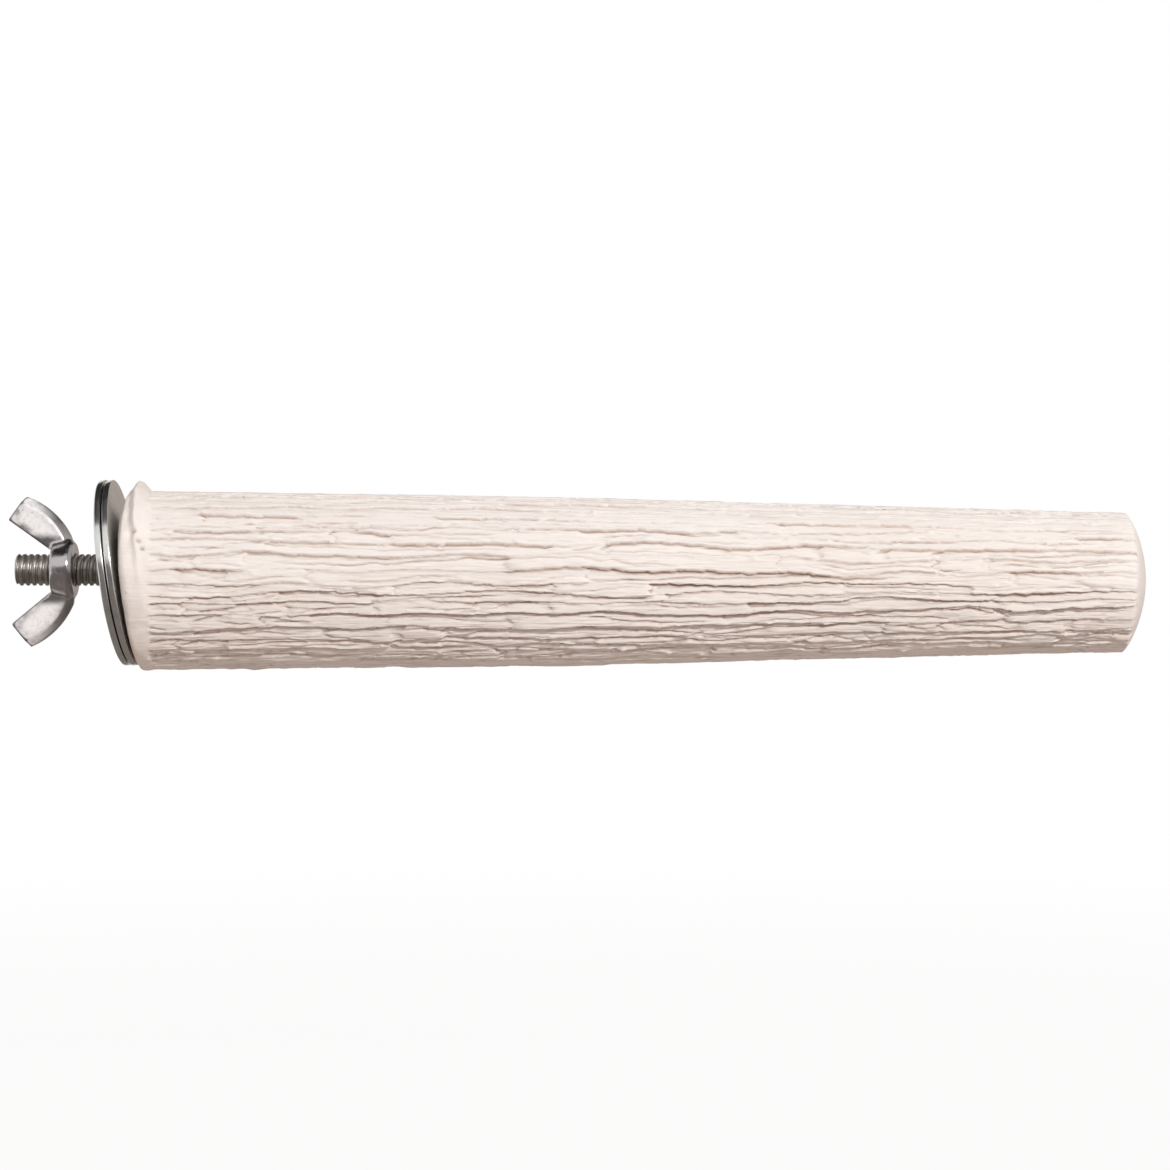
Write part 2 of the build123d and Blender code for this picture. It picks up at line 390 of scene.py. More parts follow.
def strands_along(x, random):
    """Along one row's strands: how far they lie down, their tilt, and each fine split's place and depth."""
    low = np.zeros_like(x)
    tilt = np.zeros_like(x)
    splits = np.zeros((2 * split_count, len(x)))
    start = x[0] - random.uniform(0.0, strand_lengths[1])
    while start < x[-1]:
        length = strand_lengths[0] * (strand_lengths[1] / strand_lengths[0]) ** random.uniform()
        length *= short_strands + (1.0 - short_strands) * smooth_step(0.0, short_end, start)
        here = (x >= start) & (x < start + length)
        low[here] = strand_step * random.uniform() ** step_bias
        chipped = here & (x < start + random.uniform(0.0, chip_length))
        low[chipped] += random.uniform(0.0, chip_depth)
        tilt[here] = random.uniform(*strand_tilt)
        for number in range(split_count):
            centre = random.uniform(*split_place)
            climb = random.uniform(-split_climb, split_climb)
            reach = random.uniform(*split_reach)
            depth = random.uniform(*split_depth) * (random.uniform() < split_share)
            along = (x[here] - start) / length - random.uniform(*split_middle)
            ripple = split_ripple * np.sin((x[here] - start) / random.uniform(*split_ripple_length))
            splits[2 * number, here] = centre + climb * along + ripple
            opened = np.clip(split_ends * (1.0 - np.abs(along) / reach), 0.0, 1.0)
            splits[2 * number + 1, here] = depth * opened
        start += length
    return np.vstack([low, tilt, splits])


def lay_strands(x, angles, paths, even, random):
    """The relief of the strands between the cracks, each tilted under the one above it."""
    strands = np.array([strands_along(x, random) for row in range(furrow_rows)])
    lean = random.uniform(-slant, slant, furrow_rows)
    x_step = x[1] - x[0]
    down = np.clip(tilt_turn * np.sin(angles), -1.0, 1.0)
    strength = bark_strength(angles)
    relief = np.zeros((len(angles), len(x)))
    for column in range(len(x)):
        order = np.argsort(paths[:, column])
        edges = paths[order, column]
        place = (np.searchsorted(edges, angles) - 1) % furrow_rows
        width = (edges[(place + 1) % furrow_rows] - edges[place]) % full_turn
        across = ((angles - edges[place]) % full_turn) / np.maximum(width, narrowest_strand)
        strand = order[place]
        shift = lean[strand] * (across - 0.5) + end_ripple * np.sin(end_ripple_turn * across + strand)
        source = np.clip(column + np.round(shift / x_step).astype(int), 0, len(x) - 1)
        low, tilt, *splits = strands[strand, :, source].T
        from_above = np.where(down > 0.0, across, 1.0 - across)
        height = -low * even - tilt * (1.0 - from_above) ** strand_curve * np.abs(down)
        for middle, depth in zip(splits[::2], splits[1::2]):
            beside = (from_above - middle) * width * side_radius(x[column])
            wall = np.where(beside < 0.0, -beside / split_walls[0], beside / split_walls[1])
            height -= depth * np.clip(1.0 - wall, 0.0, 1.0)
        relief[:, column] = height * strength
    return relief


def add_grain(relief, x, angles, random):
    """Fine lengthwise grain on the bark."""
    steps = int(grain_length / (x[1] - x[0]))
    grain = random.normal(size=relief.shape)
    grain = blurred(blurred(grain, 1, steps), 1, steps)
    relief += grain * (grain_height / grain.std()) * np.sqrt(bark_strength(angles))[:, None]


def cut_cracks(relief, x, angles, cracks, random):
    """Cracks with a steep upper wall, down to their own depth."""
    radius = side_radius(x)
    angle_step = full_turn / len(angles)
    reach = int(furrow_width / (tip_radius * angle_step)) + 1
    offsets = np.arange(-reach, reach + 1)[:, None]
    columns = np.arange(len(x))[None, :]
    for path, opening in cracks:
        rise = furrow_rise + top_rise * (1.0 + np.cos(path)) / 2.0
        share = hairline_share + waves(x, random, hairline_lengths, hairline_change)
        hairline = hairline_depth * bark_strength(path) * share
        depth = np.maximum(furrow_depth * opening - rise, np.maximum(hairline, thinnest_crack))
        first = np.round(path / angle_step).astype(int)
        rows = (first[None, :] + offsets) % len(angles)
        aside = ((first * angle_step - path)[None, :] + offsets * angle_step) * radius[None, :]
        lower = aside * np.where(np.sin(path) > 0.0, 1.0, -1.0)[None, :]
        crack_width = np.maximum(depth * furrow_width / furrow_depth, hairline_width)[None, :]
        wall = np.where(lower < 0.0, -lower / steep_share, lower / (1.0 - steep_share)) / crack_width
        floor = -depth[None, :] * (1.0 - wall)
        relief[rows, columns] = np.minimum(relief[rows, columns], np.where(wall < 1.0, floor, np.inf))


def add_crumbs(relief, x, angles, cracks, even, random):
    """Specks of cast mineral beside the cracks."""
    radius = side_radius(x)
    for number in range(crumb_count):
        path, opening = cracks[random.integers(furrow_rows)]
        column = random.integers(len(x))
        size = random.uniform(*crumb_size)
        beside = (angles - path[column] - random.uniform(-1.0, 1.0) * size / tip_radius) * radius[column]
        half_way = math.pi * radius[column]
        beside = (beside + half_way) % (full_turn * radius[column]) - half_way
        near = np.abs(x - x[column]) < crumb_reach * size
        shape = np.exp(-(beside[:, None] ** 2 + (x[near] - x[column])[None, :] ** 2) / size**2)
        relief[:, near] += random.uniform(*crumb_height) * shape * even[:, None]


def bark_relief(x, angles):
    """How far the bark stands above the nominal side, by angle and place along the bar."""
    random = np.random.default_rng(bark_seed)
    cracks = [crack_path(row, x, random) for row in range(furrow_rows)]
    paths = np.array([path for path, opening in cracks])
    from_outline = smooth_step(*outline_band, np.abs(np.sin(angles)))
    even = straight_outline + (1.0 - straight_outline) * from_outline
    relief = lay_strands(x, angles, paths, even, random)
    add_grain(relief, x, angles, random)
    cut_cracks(relief, x, angles, cracks, random)
    add_crumbs(relief, x, angles, cracks, even, random)
    return np.minimum(relief, crumb_proud)


# Meshes


def new_object(name, vertices, faces, material):
    mesh = bpy.data.meshes.new(name)
    mesh.from_pydata(vertices, [], faces)
    mesh.update()
    mesh.materials.append(material)
    mesh.shade_smooth()
    piece = bpy.data.objects.new(name, mesh)
    bpy.context.scene.collection.objects.link(piece)
    return piece


def set_attribute(mesh, name, values):
    attribute = mesh.attributes.new(name, "FLOAT", "POINT")
    attribute.data.foreach_set("value", values.astype(np.float32))


def ring_faces(rows, columns):
    """Quads between columns of points round an axis: point number is column times rows plus row."""
    faces = []
    for column in range(columns - 1):
        for row in range(rows):
            after = (row + 1) % rows
            here = column * rows
            there = here + rows
            faces.append((here + row, there + row, there + after, here + after))
    return faces


def cap_faces(rows, first, pole, forward):
    """Triangles between one ring of points and a point in its middle."""
    faces = []
    for row in range(rows):
        after = (row + 1) % rows
        if forward:
            faces.append((pole, first + row, first + after))
        else:
            faces.append((pole, first + after, first + row))
    return faces


def capped_rings(name, places, poles, material):
    """A closed skin over rings along X: arrays of x, y and z by row and column, and its two end points."""
    rows, columns = places[0].shape
    points = np.stack(places, axis=-1).transpose(1, 0, 2).reshape(-1, 3)
    vertices = [tuple(point) for point in points]
    vertices.extend(poles)
    faces = ring_faces(rows, columns)
    faces += cap_faces(rows, 0, len(points), True)
    faces += cap_faces(rows, (columns - 1) * rows, len(points) + 1, False)
    return new_object(name, vertices, faces, material)


def weld(piece, distance):
    """Joins points that lie together, and turns all faces outwards."""
    shape = bmesh.new()
    shape.from_mesh(piece.data)
    bmesh.ops.remove_doubles(shape, verts=shape.verts, dist=distance)
    bmesh.ops.recalc_face_normals(shape, faces=shape.faces)
    shape.to_mesh(piece.data)
    shape.free()
    piece.data.shade_smooth()


def apply_modifiers(piece):
    graph = bpy.context.evaluated_depsgraph_get()
    mesh = bpy.data.meshes.new_from_object(
        piece.evaluated_get(graph), preserve_all_data_layers=True, depsgraph=graph
    )
    piece.modifiers.clear()
    piece.data = mesh


# Cast bar


def off_centre(radius, drop, angle):
    """The distance from the bar's axis to a circle that is centred that far below it."""
    return -drop * np.cos(angle) + np.sqrt(radius**2 - (drop * np.sin(angle)) ** 2)


def collar_radius(x, angle):
    """The smooth bar's radius, with the mount end's bevel, rounded edge and lip, and the domed tip."""
    from_end = x * math.cos(end_lean)
    bevel = off_centre(bevel_radius + from_end / math.tan(bevel_slope), bevel_drop, angle)
    radius = blended_min(np.broadcast_to(side_radius(x), bevel.shape), bevel, corner_blend)
    edge = end_edge + (top_edge - end_edge) * smooth_step(*edge_band, np.cos(angle - top_edge_turn))
    inset = np.clip(edge - from_end, 0.0, edge)
    radius = radius - (edge - np.sqrt(edge**2 - inset**2))
    fall = np.sqrt((from_end - lip_place) ** 2 + lip_rounding**2) / math.tan(lip_slope)
    lip = off_centre(np.maximum(lip_radius - fall, 2.0 * bar_drop), -bar_drop, angle)
    radius = blended_max(radius, lip, lip_blend)
    dome = (tip_radius**2 + tip_crown**2) / (2.0 * tip_crown)
    before_pole = np.clip(bar_tip - x, 0.0, dome)
    return blended_min(radius, np.sqrt(before_pole * (2.0 * dome - before_pole)), shoulder_blend)


def lumps(x, angle):
    """Slow unevenness of the cast collar, with dimples."""
    first, second, third, fourth = [
        np.sin(around * angle + along * x + start) for around, along, start in lump_waves
    ]
    uneven = collar_lumps * (first + second + third * fourth) / 2.0
    random = np.random.default_rng(bark_seed)
    for number in range(dimple_count):
        aside = (angle - random.uniform(0.0, full_turn)) * mount_radius
        size = random.uniform(*dimple_radius)
        from_middle = (x - random.uniform(0.0, front_start)) ** 2 + aside**2
        uneven += random.uniform(-dimple_height, dimple_height) * np.exp(-from_middle / size**2)
    return uneven


def bark_start(angle):
    """Where the bark starts along the bar."""
    return top_start + (front_start - top_start) * np.abs(np.sin(angle))


def from_top(angle):
    """The angle from the top on either side, up to half a turn."""
    return np.arccos(np.cos(angle))


def side_columns():
    """Places of the mesh's rings along the bar: close together at both ends."""
    tip_start = shoulder - tip_lead
    to_pole = np.linspace(1.0, 0.0, tip_columns + 1)[1:-1]
    collar = np.linspace(0.0, lean_fade[0], collar_columns)
    return np.concatenate([
        collar**collar_crowding / lean_fade[0] ** (collar_crowding - 1.0),
        np.linspace(lean_fade[0], tip_start, bark_columns)[1:],
        bar_tip - (bar_tip - tip_start) * to_pole**2,
    ])


def laid_bark(x, radius, angle):
    """The bark at the mesh's points: calmer at both ends and across the middle of each side."""
    fine_x = np.linspace(0.0, bar_tip, fine_columns)
    relief = bark_relief(fine_x, angle[:, 0])
    bark = np.zeros_like(x)
    for row in range(around_count):
        bark[row] = np.interp(x[row], fine_x, relief[row])
    start = bark_start(angle)
    barked = smooth_step(start, start + bark_edge, x)
    bark *= barked * (start_calm + (1.0 - start_calm) * smooth_step(start, calm_end, x))
    bark *= 1.0 - (1.0 - tip_calm) * smooth_step(shoulder - tip_calm_length, shoulder, x)
    bark *= smooth_step(tip_fade[0] * tip_radius, tip_fade[1] * tip_radius, radius)
    calm = middle_calm * bell(from_top(angle) - middle_turn, middle_spread)
    bark *= 1.0 - calm * (1.0 - bell(x - rough_place, rough_spread))
    return bark, barked


def dust_and_shade_tint(bark, angle):
    """How much dust and painted shade tint the bark, up to 1 in a deep groove, and more so on the
    underside.
    """
    low_shade_gain = 1.0 + low_painted_shade * smooth_step(*low_turn, from_top(angle))
    sunk = (blurred(bark, 0, groove_reach) - bark) * low_shade_gain - groove_depth[0]
    return np.clip(sunk / (groove_depth[1] - groove_depth[0]), 0.0, 1.0)


def bar_side(angle):
    """The bar from its cast end to its tip: place along it, radius, and dust and painted shade of each
    point.
    """
    side_x = side_columns()
    radius = collar_radius(side_x[None, :], angle)
    z = radius * np.cos(angle) - bar_drop
    leaning = 1.0 - smooth_step(*lean_fade, side_x)[None, :]
    x = side_x[None, :] - z * math.tan(end_lean) * leaning
    bark, barked = laid_bark(x, radius, angle)
    dust_and_shade = dust_and_shade_tint(bark, angle)
    uneven = lumps(x, angle) * (1.0 - barked)
    for along, degrees in pinholes:
        aside = (angle - math.radians(degrees)) * mount_radius
        pit = np.exp(-((x - along) ** 2 + aside**2) / pinhole_radius**2)
        uneven -= pinhole_depth * pit
        # the pinholes are darkened fully, as painted shadow in them
        dust_and_shade = np.maximum(dust_and_shade, pit)
    behind = tip_slant * (1.0 - radius * np.cos(angle) / tip_radius) / 2.0
    x = x - behind * smooth_step(slant_start, shoulder, side_x)[None, :]
    radius += bark + uneven - start_line_depth * bell(x - bark_start(angle), start_line_width)
    return x, radius, dust_and_shade


def build_bar(material):
    """The cast bar as rings: rod hole, end face, collar with its lip, bark, and domed tip."""
    angle = (np.arange(around_count) * (full_turn / around_count))[:, None]
    side_x, side, side_dust_and_shade = bar_side(angle)
    end_share = np.linspace(0.0, 1.0, end_columns + 1)[None, :-1]
    end = rod_radius + (side[:, :1] - rod_radius) * end_share
    end_drop = np.broadcast_to(bar_drop * end_share, end.shape)
    end_x = -(end * np.cos(angle) - end_drop) * math.tan(end_lean)
    hole_x = end_x[:, :1] + rod_hole_depth

    x = np.concatenate([hole_x, end_x, side_x], axis=1)
    radius = np.concatenate([end[:, :1], end, side], axis=1)
    drop = np.concatenate([end_drop[:, :1], end_drop, np.full_like(side_x, bar_drop)], axis=1)
    dust_and_shade = np.concatenate([np.zeros_like(hole_x), np.zeros_like(end_x), side_dust_and_shade], axis=1)
    y = -radius * np.sin(angle)
    z = radius * np.cos(angle) - drop
    hole_middle = (rod_hole_depth, 0.0, 0.0)
    tip_middle = (bar_tip - tip_slant / 2.0, 0.0, -bar_drop)
    piece = capped_rings("cast_bar", (x, y, z), (hole_middle, tip_middle), material)
    set_attribute(piece.data, "dust_and_shade", np.append(dust_and_shade.T.reshape(-1), [0.0, 0.0]))
    thin = piece.modifiers.new("thin", "DECIMATE")
    thin.ratio = bar_triangles / (2.0 * around_count * x.shape[1])
    apply_modifiers(piece)
    piece.data.shade_smooth()
    return piece


# Rod, washers and wing nut


def build_rod(material):
    """A rod with a rounded V thread along all its length."""
    turns = (rod_high.x - rod_low.x) / thread_pitch
    count = int(round(turns * thread_columns)) + 1
    x = np.linspace(rod_low.x, rod_high.x, count)
    angles = np.arange(thread_sides) * (full_turn / thread_sides)
    phase = (x[None, :] - rod_low.x) / thread_pitch + angles[:, None] / full_turn
    wave = np.abs((phase % 1.0) * 2.0 - 1.0)
    cut = np.clip(wave * thread_slope - thread_crest, 0.0, 1.0)
    from_ends = np.minimum(x - rod_low.x, rod_high.x - x)
    bevel = np.clip(rod_bevel - from_ends, 0.0, None)
    radius = np.minimum(rod_radius - thread_depth * cut, (rod_radius - bevel)[None, :])
    y = radius * np.cos(angles)[:, None]
    z = radius * np.sin(angles)[:, None]
    full_x = np.repeat(x[None, :], thread_sides, axis=0)
    poles = ((rod_low.x, 0.0, 0.0), (rod_high.x, 0.0, 0.0))
    return capped_rings("threaded_steel_rod", (full_x, y, z), poles, material)


def washer_outline():
    """A washer's section, as (place along its axis, radius): its edge is rounded more on one side."""
    half = washer_thickness / 2
    hole = washer_hole_radius
    outline = []
    for turn in np.linspace(0.0, math.pi / 2, edge_points):
        outline.append((
            -half + washer_edge * (1.0 - math.cos(turn)),
            washer_radius - washer_edge * (1.0 - math.sin(turn)),
        ))
    for turn in np.linspace(0.0, math.pi / 2, burr_points):
        outline.append((
            half - burr_edge * (1.0 - math.sin(turn)),
            washer_radius - burr_edge * (1.0 - math.cos(turn)),
        ))
    for share in face_shares[::-1]:
        outline.append((half, hole + (washer_radius - burr_edge - hole) * share))
    outline.append((half, hole + washer_hole_bevel))
    outline.append((half - washer_hole_bevel, hole))
    outline.append((-half + washer_hole_bevel, hole))
    outline.append((-half, hole + washer_hole_bevel))
    for share in face_shares:
        outline.append((-half, hole + (washer_radius - washer_edge - hole) * share))
    return outline


def build_washer(name, node, material):
    """A stamped washer that leans as the solid does."""
    low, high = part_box(node)
    centre = Vector(((low.x + high.x) / 2, 0.0, (low.z + high.z) / 2))
    axis = Vector((math.cos(washer_tilt), 0.0, math.sin(washer_tilt)))
    up = Vector((-math.sin(washer_tilt), 0.0, math.cos(washer_tilt)))
    side = Vector((0.0, 1.0, 0.0))
    outline = washer_outline()
    vertices = []
    for along, radius in outline + outline[:1]:
        for number in range(washer_sides):
            angle = full_turn * number / washer_sides
            place = centre + axis * along + (up * math.cos(angle) - side * math.sin(angle)) * radius
            vertices.append(tuple(place))
    piece = new_object(name, vertices, ring_faces(washer_sides, len(outline) + 1), material)
    weld(piece, weld_distance)
    return piece


def averaged(mesh, values, times):
    """The values at a mesh's points, averaged with their neighbours a number of times."""
    ends = np.array([edge.vertices[:] for edge in mesh.edges])
    share = 1.0 + np.bincount(ends.ravel(), minlength=len(values))
    for step in range(times):
        total = values.copy()
        np.add.at(total, ends[:, 0], values[ends[:, 1]])
        np.add.at(total, ends[:, 1], values[ends[:, 0]])
        values = total / share
    return values


def edge_bend(mesh, places):
    """How sharply the surface bends away from each point: 0 on a flat, more on an outer edge."""
    normals = np.array([vertex.normal[:] for vertex in mesh.vertices])
    ends = np.array([edge.vertices[:] for edge in mesh.edges])
    total = np.zeros(len(places))
    for here, there in ((ends[:, 0], ends[:, 1]), (ends[:, 1], ends[:, 0])):
        step = places[there] - places[here]
        fall = -(step * normals[here]).sum(axis=1) / np.linalg.norm(step, axis=1)
        np.add.at(total, here, fall)
    return total / np.bincount(ends.ravel(), minlength=len(places))


def build_nut(material):
    """The forged nut: the solid's edges melted into soft blends, with its wear, and the edges' painted dark
    reflection, as attributes.
    """
    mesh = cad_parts["wing_nut"].data.copy()
    mesh.materials.clear()
    mesh.materials.append(material)
    piece = bpy.data.objects.new("forged_wing_nut", mesh)
    bpy.context.scene.collection.objects.link(piece)
    weld(piece, weld_distance)
    remesh = piece.modifiers.new("blend", "REMESH")
    remesh.mode = "VOXEL"
    remesh.voxel_size = nut_voxel
    smooth = piece.modifiers.new("soften", "SMOOTH")
    smooth.factor = blend_factor
    smooth.iterations = blend_passes
    apply_modifiers(piece)
    piece.data.shade_smooth()
    places = np.array([vertex.co[:] for vertex in piece.data.vertices])
    facing = np.array([vertex.normal.x for vertex in piece.data.vertices])
    ridge = edge_bend(piece.data, places)
    frost = smooth_step(*frost_start, np.hypot(places[:, 1], places[:, 2]))
    rubbed = smooth_step(*rubbed_bend, averaged(piece.data, np.maximum(ridge, 0.0), rubbed_passes))
    wear_and_reflection = smooth_step(*wear_and_reflection_bend, averaged(piece.data, ridge, wear_and_reflection_passes))
    outer_edge = smooth_step(*outer_facing, averaged(piece.data, facing, outer_passes)) * frost
    set_attribute(piece.data, "frost", frost)
    set_attribute(piece.data, "wear_and_reflection", np.maximum(wear_and_reflection, outer_wear_and_reflection * outer_edge))
    set_attribute(piece.data, "rubbed", rubbed)
    return piece


# Materials


def new_material(name):
    material = bpy.data.materials.new(name)
    material.use_nodes = True
    nodes = material.node_tree.nodes
    links = material.node_tree.links
    shader = nodes["Principled BSDF"]
    return material, nodes, links, shader


def connect(links, value, socket):
    """Links a socket's value, or sets a colour or a number."""
    if hasattr(value, "links"):
        links.new(value, socket)
    elif isinstance(value, tuple):
        socket.default_value = (*value, 1.0)
    else:
        socket.default_value = value


def attribute_of(nodes, name):
    node = nodes.new("ShaderNodeAttribute")
    node.attribute_name = name
    return node.outputs["Fac"]


def noise_at(nodes, links, scale, detail, along=1.0, roughness=0.5):
    """A noise texture on object coordinates, drawn out along the bar where along is below 1."""
    place = nodes.new("ShaderNodeTexCoord")
    mapping = nodes.new("ShaderNodeMapping")
    mapping.inputs["Scale"].default_value = (along, 1.0, 1.0)
    noise = nodes.new("ShaderNodeTexNoise")
    noise.inputs["Scale"].default_value = scale
    noise.inputs["Detail"].default_value = detail
    noise.inputs["Roughness"].default_value = roughness
    links.new(place.outputs["Object"], mapping.inputs["Vector"])
    links.new(mapping.outputs["Vector"], noise.inputs["Vector"])
    return noise.outputs["Fac"]


def colour_ramp(nodes, links, source, stops):
    ramp = nodes.new("ShaderNodeValToRGB")
    elements = ramp.color_ramp.elements
    for element, (position, colour) in zip(elements, (stops[0], stops[-1])):
        element.position = position
        element.color = (*colour, 1.0)
    for position, colour in stops[1:-1]:
        elements.new(position).color = (*colour, 1.0)
    links.new(source, ramp.inputs["Fac"])
    return ramp.outputs["Color"]


def mix_colour(nodes, links, factor, first, second):
    mix = nodes.new("ShaderNodeMix")
    mix.data_type = "RGBA"
    connect(links, factor, mix.inputs[0])
    connect(links, first, mix.inputs[6])
    connect(links, second, mix.inputs[7])
    return mix.outputs[2]


def map_range(nodes, links, source, low, high):
    """Spreads a value from 0 to 1 between two others."""
    spread = nodes.new("ShaderNodeMapRange")
    spread.inputs["To Min"].default_value = low
    spread.inputs["To Max"].default_value = high
    links.new(source, spread.inputs["Value"])
    return spread


def add_math(nodes, links, operation, *values, clamp=False):
    """A sum, product or the like of sockets and numbers."""
    node = nodes.new("ShaderNodeMath")
    node.operation = operation
    node.use_clamp = clamp
    for socket, value in zip(node.inputs, values):
        connect(links, value, socket)
    return node.outputs["Value"]


def bump(nodes, links, source, distance, strength, under=None):
    node = nodes.new("ShaderNodeBump")
    node.inputs["Distance"].default_value = distance
    node.inputs["Strength"].default_value = strength
    links.new(source, node.inputs["Height"])
    if under is not None:
        links.new(under, node.inputs["Normal"])
    return node.outputs["Normal"]


def cast_mineral():
    """Pale cream cast mineral, a little pinker and darker in the grooves and pits, from dust and painted
    shade.
    """
    material, nodes, links, shader = new_material("cast_mineral_bark")
    blotch = noise_at(nodes, links, scale=38.0, detail=3.0, along=0.35)
    pale = colour_ramp(nodes, links, blotch, cast_tones)
    # the grooves and pits go darker and pinker with dust and painted shade
    body = mix_colour(nodes, links, attribute_of(nodes, "dust_and_shade"), pale, dust_and_shade_colour)
    links.new(body, shader.inputs["Base Color"])
    shader.inputs["Roughness"].default_value = 0.82
    shader.inputs["Specular IOR Level"].default_value = 0.35
    grain = noise_at(nodes, links, scale=1500.0, detail=3.0, along=0.08)
    pits = noise_at(nodes, links, scale=2600.0, detail=2.0)
    fine = bump(nodes, links, grain, distance=0.00022, strength=0.55)
    rough = bump(nodes, links, pits, distance=0.00008, strength=0.35, under=fine)
    links.new(rough, shader.inputs["Normal"])
    return material


def frosted_zinc():
    """Zinc plate, bright on the hub, bare on the worn edges with a painted dark reflection, and frosted
    white with grey smudges on the wings.
    """
    material, nodes, links, shader = new_material("frosted_zinc")
    frost = attribute_of(nodes, "frost")
    wear_and_reflection = attribute_of(nodes, "wear_and_reflection")
    rubbed = attribute_of(nodes, "rubbed")
    patches = noise_at(nodes, links, scale=420.0, detail=3.0)
    specks = noise_at(nodes, links, scale=1300.0, detail=7.0, roughness=0.65)
    ragged = add_math(nodes, links, "MULTIPLY_ADD", patches, frost_ragged, -frost_ragged / 2)
    frosted = add_math(nodes, links, "ADD", frost, ragged)
    bare = add_math(nodes, links, "MULTIPLY", wear_and_reflection, -frost_worn_off)
    share = add_math(nodes, links, "ADD", frosted, bare, clamp=True)
    smudge = add_math(nodes, links, "MULTIPLY_ADD", patches, smudge_gain, smudge_cut, clamp=True)
    smudged = add_math(nodes, links, "MULTIPLY", smudge, rubbed)
    pale = colour_ramp(nodes, links, specks, frost_tones)
    wing = mix_colour(nodes, links, smudged, pale, smudge_colour)
    plated = mix_colour(nodes, links, share, plating_colour, wing)
    # worn edges go dark: bare metal, with a painted dark reflection
    body = mix_colour(nodes, links, wear_and_reflection, plated, wear_and_reflection_colour)
    links.new(body, shader.inputs["Base Color"])
    for socket, limits in (("Metallic", nut_metallic), ("Roughness", nut_roughness)):
        spread = map_range(nodes, links, share, *limits)
        links.new(spread.outputs["Result"], shader.inputs[socket])
    relief = bump(nodes, links, specks, distance=0.00006, strength=0.5)
    links.new(relief, shader.inputs["Normal"])
    return material


def plated_steel(name, tones, roughness, grain_scale, bump_distance):
    """Zinc plated steel with small changes of tone and a fine grain."""
    material, nodes, links, shader = new_material(name)
    tone = noise_at(nodes, links, grain_scale, detail=4.0)
    links.new(colour_ramp(nodes, links, tone, tones), shader.inputs["Base Color"])
    shader.inputs["Metallic"].default_value = 1.0
    smoother, rougher = roughness_spread
    spread = map_range(nodes, links, tone, roughness * smoother, roughness * rougher)
    links.new(spread.outputs["Result"], shader.inputs["Roughness"])
    fine = noise_at(nodes, links, grain_scale * fine_grain, detail=2.0)
    relief = bump(nodes, links, fine, bump_distance, strength=0.4)
    links.new(relief, shader.inputs["Normal"])
    return material


# Stage, lamps and camera


def seen_by_eye(nodes, links):
    """1 for a ray from the camera, off gloss or through glass, and 0 for one that only lights."""
    path = nodes.new("ShaderNodeLightPath")
    seen = path.outputs["Is Camera Ray"]
    for kind in ("Is Glossy Ray", "Is Transmission Ray"):
        seen = add_math(nodes, links, "MAXIMUM", seen, path.outputs[kind])
    return seen


def white_stage(name):
    """A pale surface that the eye sees as white, with part of its shadow left under the bar."""
    material, nodes, links, shader = new_material(name)
    nodes.remove(shader)
    diffuse = nodes.new("ShaderNodeBsdfDiffuse")
    diffuse.inputs["Color"].default_value = (*floor_colour, 1.0)
    glow = nodes.new("ShaderNodeEmission")
    glow.inputs["Strength"].default_value = 1.0
    place = nodes.new("ShaderNodeTexCoord")
    distance = nodes.new("ShaderNodeVectorMath")
    distance.operation = "LENGTH"
    links.new(place.outputs["Object"], distance.inputs[0])
    far = map_range(nodes, links, distance.outputs["Value"], floor_glow, 1.0)
    far.inputs["From Min"].default_value = shadow_reach[0]
    far.inputs["From Max"].default_value = shadow_reach[1]
    share = add_math(nodes, links, "MULTIPLY", seen_by_eye(nodes, links), far.outputs["Result"])
    mix = nodes.new("ShaderNodeMixShader")
    links.new(share, mix.inputs["Fac"])
    links.new(diffuse.outputs["BSDF"], mix.inputs[1])
    links.new(glow.outputs["Emission"], mix.inputs[2])
    links.new(mix.outputs["Shader"], nodes["Material Output"].inputs["Surface"])
    return material


def add_plane(name, size, place, turn, material):
    bpy.ops.mesh.primitive_plane_add(size=size, location=place, rotation=turn)
    plane = bpy.context.object
    plane.name = name
    plane.data.materials.append(material)
    return plane


def build_stage():
    """The floor, and a world that lights softly and looks white."""
    floor_place = (camera_aim.x, 0.0, camera_aim.z - floor_drop)
    add_plane("floor", floor_size, floor_place, flat, white_stage("white_paper"))
    world = bpy.data.worlds.new("studio")
    bpy.context.scene.world = world
    world.use_nodes = True
    nodes = world.node_tree.nodes
    links = world.node_tree.links
    light = mix_colour(nodes, links, seen_by_eye(nodes, links), surround_colour, white)
    links.new(light, nodes["Background"].inputs["Color"])


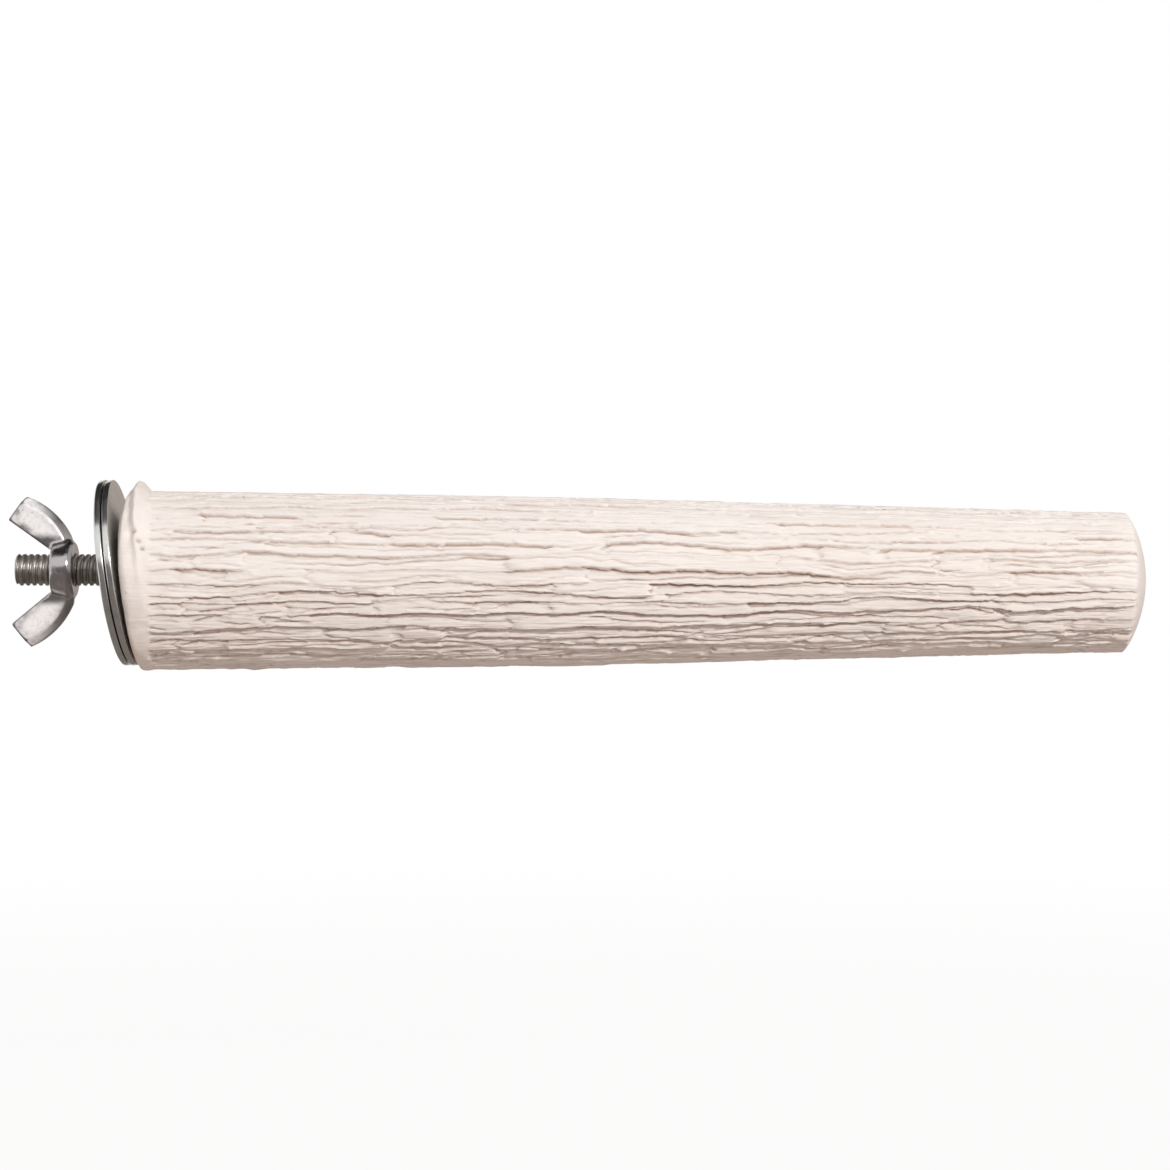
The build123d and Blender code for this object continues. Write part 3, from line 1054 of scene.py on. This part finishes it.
def add_card(name, place, size, turn, colour):
    """A card that shows only in the metal's gloss, to give it dark lines as studio flags do."""
    material, nodes, links, shader = new_material(name)
    nodes.remove(shader)
    paint = nodes.new("ShaderNodeEmission")
    paint.inputs["Color"].default_value = (*colour, 1.0)
    links.new(paint.outputs["Emission"], nodes["Material Output"].inputs["Surface"])
    card = add_plane(name, 1.0, place, turn, material)
    card.scale = (*size, 1.0)
    card.visible_camera = False
    card.visible_diffuse = False
    card.visible_transmission = False
    card.visible_shadow = False


def add_lamp(name, place, size, power):
    lamp = bpy.data.lights.new(name, "AREA")
    lamp.shape = "DISK"
    lamp.size = size
    lamp.energy = power
    holder = bpy.data.objects.new(name, lamp)
    bpy.context.scene.collection.objects.link(holder)
    holder.location = place
    holder.rotation_euler = (camera_aim - Vector(place)).to_track_quat("-Z", "Y").to_euler()


def add_camera():
    data = bpy.data.cameras.new("view")
    data.lens = data.sensor_width * camera_distance / picture_width
    holder = bpy.data.objects.new("view", data)
    bpy.context.scene.collection.objects.link(holder)
    holder.location = camera_aim + Vector((0.0, -camera_distance, 0.0))
    holder.rotation_euler = (math.pi / 2, camera_roll, 0.0)
    bpy.context.scene.camera = holder


add_camera()
build_stage()
for lamp_values in lamps:
    add_lamp(*lamp_values)
for card_values in cards:
    add_card(*card_values)

plaster = cast_mineral()
rod_steel = plated_steel("dull_zinc", rod_tones, roughness=0.40, grain_scale=900.0, bump_distance=0.00003)
washer_steel = plated_steel(
    "bright_zinc", washer_tones, roughness=0.20, grain_scale=500.0, bump_distance=0.000006
)
nut_zinc = frosted_zinc()

bar = build_bar(plaster)
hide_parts("perch_body")
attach(bar, "perch")

rod = build_rod(rod_steel)
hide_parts("threaded_rod")
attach(rod, "perch")

for node in ("inner_washer", "outer_washer"):
    washer = build_washer("stamped_" + node, node, washer_steel)
    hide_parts(node)
    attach(washer, node)

nut = build_nut(nut_zinc)
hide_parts("wing_nut")
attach(nut, "wing_nut")

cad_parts["anchor_nut"].data.materials.clear()
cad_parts["anchor_nut"].data.materials.append(rod_steel)

bpy.context.scene.view_settings.view_transform = "Standard"
